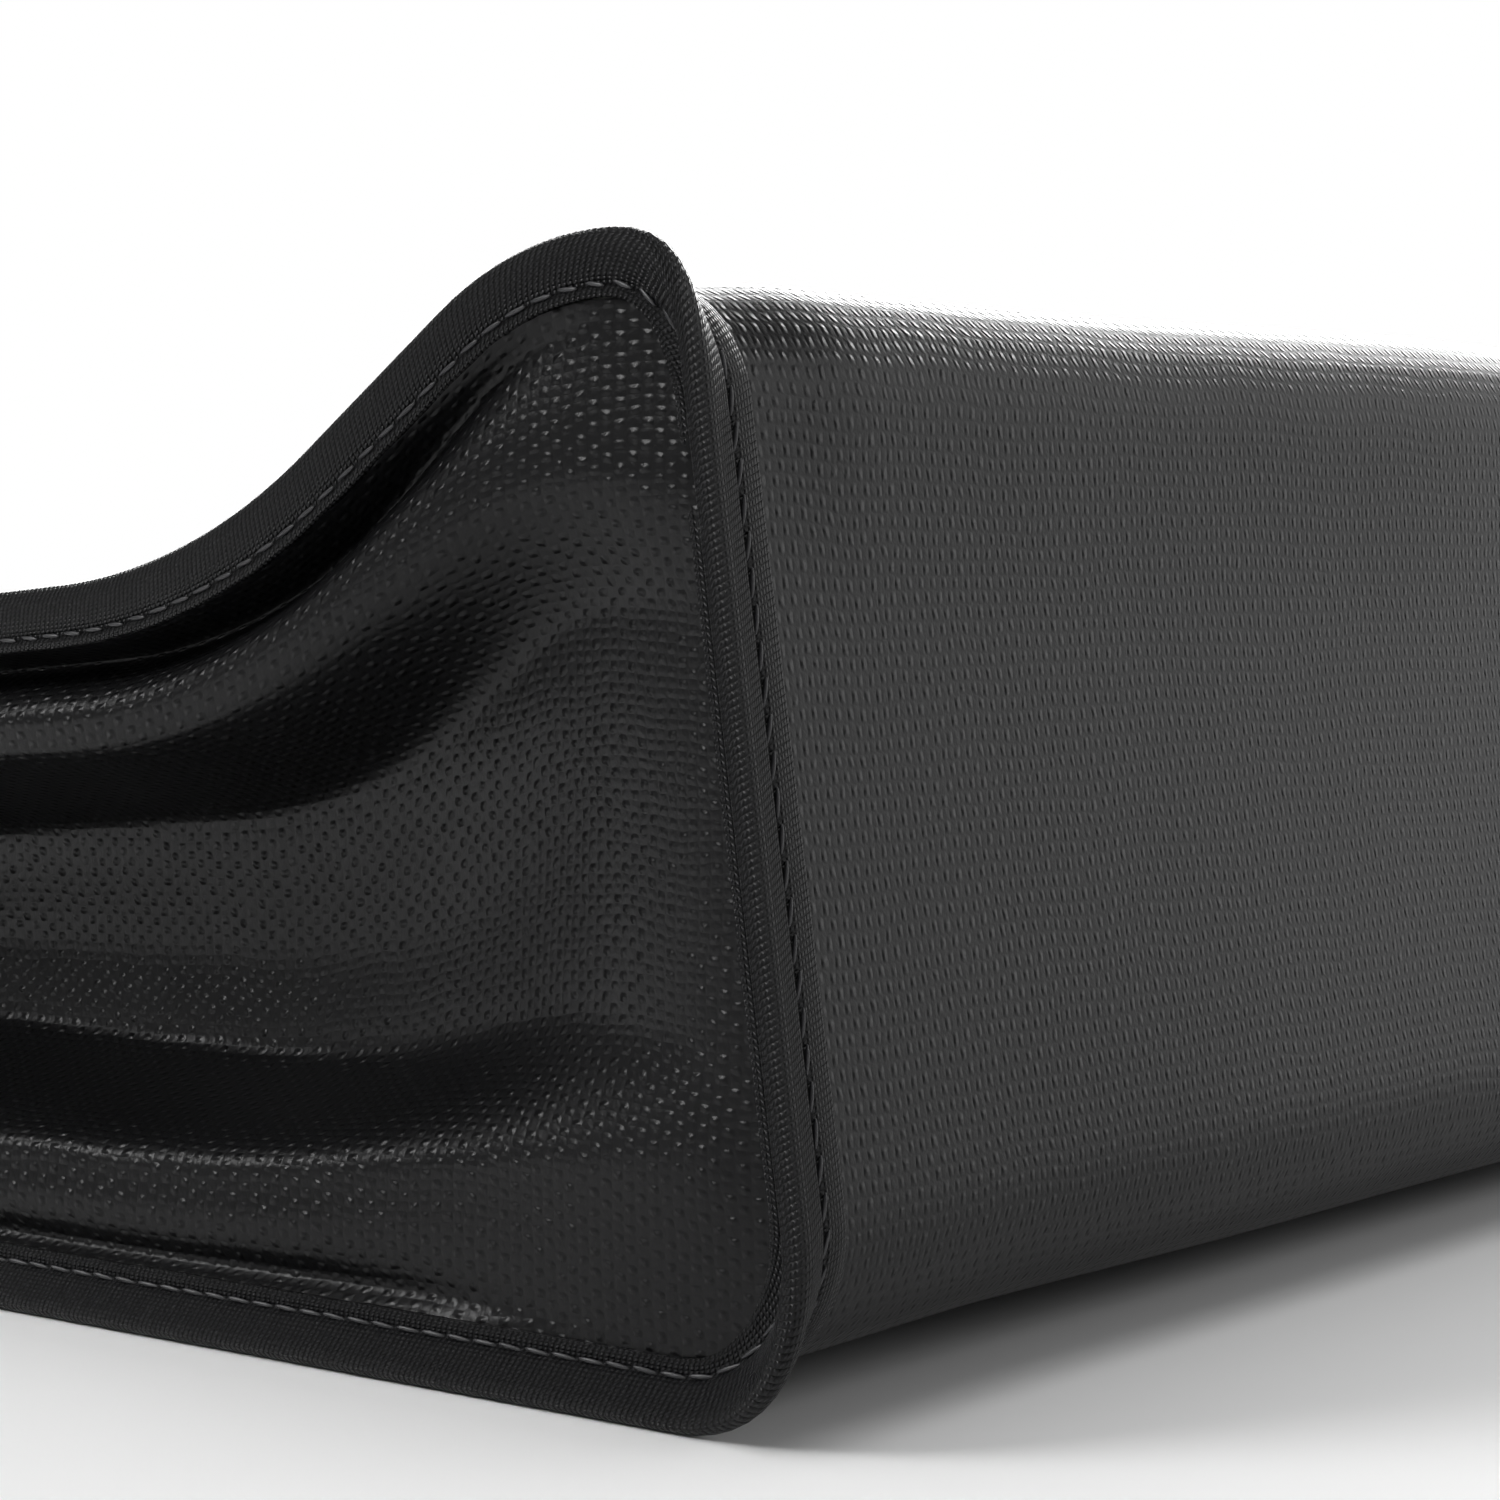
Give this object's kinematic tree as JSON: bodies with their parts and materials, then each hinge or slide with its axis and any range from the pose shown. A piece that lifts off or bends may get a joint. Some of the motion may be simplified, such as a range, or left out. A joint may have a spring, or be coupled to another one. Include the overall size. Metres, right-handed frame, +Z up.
{
  "type": "lipo safe bag",
  "caption": "Black coated glass cloth battery safe bag with folded side gussets, tape bound seams and a hook and loop flap, lying on its back panel.",
  "frame": {"origin": "middle of the bag's footprint on the floor, with the bag lying on its back panel", "axes": "+X across the bag's width, +Y from the base panel to the mouth, +Z up from the back panel to the front panel"},
  "size_m": [0.2402, 0.1835, 0.065],
  "materials": {
    "coated_cloth": "satin silicone coating over plain-weave glass cloth",
    "liner_cloth": "matte uncoated glass cloth",
    "binding_tape": "matte twill tape",
    "thread": "matte thread",
    "loop_pile": "soft looped pile",
    "hook_pile": "stiff hooked pile",
    "webbing": "ribbed webbing"
  },
  "bodies": {
    "bag": {"wrap_shell": "coated_cloth", "wrap_liner": "liner_cloth", "left_gusset_shell": "coated_cloth", "left_gusset_liner": "liner_cloth", "right_gusset_shell": "coated_cloth", "right_gusset_liner": "liner_cloth", "left_seam_allowance": "liner_cloth", "right_seam_allowance": "liner_cloth", "left_seam_binding": "binding_tape", "right_seam_binding": "binding_tape", "left_seam_stitching": "thread", "right_seam_stitching": "thread", "left_mouth_binding": "binding_tape", "right_mouth_binding": "binding_tape", "mouth_front_binding": "binding_tape", "mouth_front_stitching": "thread", "loop_strip": "loop_pile", "loop_strip_stitching": "thread"},
    "flap_spine": {"spine_shell": "coated_cloth", "spine_liner": "liner_cloth", "left_spine_binding": "binding_tape", "right_spine_binding": "binding_tape"},
    "flap_lip": {"lip_shell": "coated_cloth", "lip_liner": "liner_cloth", "lip_binding": "binding_tape", "lip_binding_stitching": "thread", "hook_strip": "hook_pile", "hook_strip_stitching": "thread", "pull_tab_anchor": "webbing"},
    "pull_tab": {"pull_tab": "webbing", "pull_tab_stitching": "thread"}
  },
  "joints": [
    {"name": "spine_fold", "type": "hinge", "parent": "bag", "child": "flap_spine", "pos_m": [0, 0.08987, 0.00313], "axis": [-1, 0, 0], "range_deg": [0, 90]},
    {"name": "lip_fold", "type": "hinge", "parent": "flap_spine", "child": "flap_lip", "pos_m": [0, 0.09113, 0.03457], "axis": [-1, 0, 0], "range_deg": [0, 85]},
    {"name": "pull_tab_bend", "type": "hinge", "parent": "flap_lip", "child": "pull_tab", "pos_m": [0, 0.02992, 0.03902], "axis": [-1, 0, 0], "range_deg": [0, 80]}
  ]
}
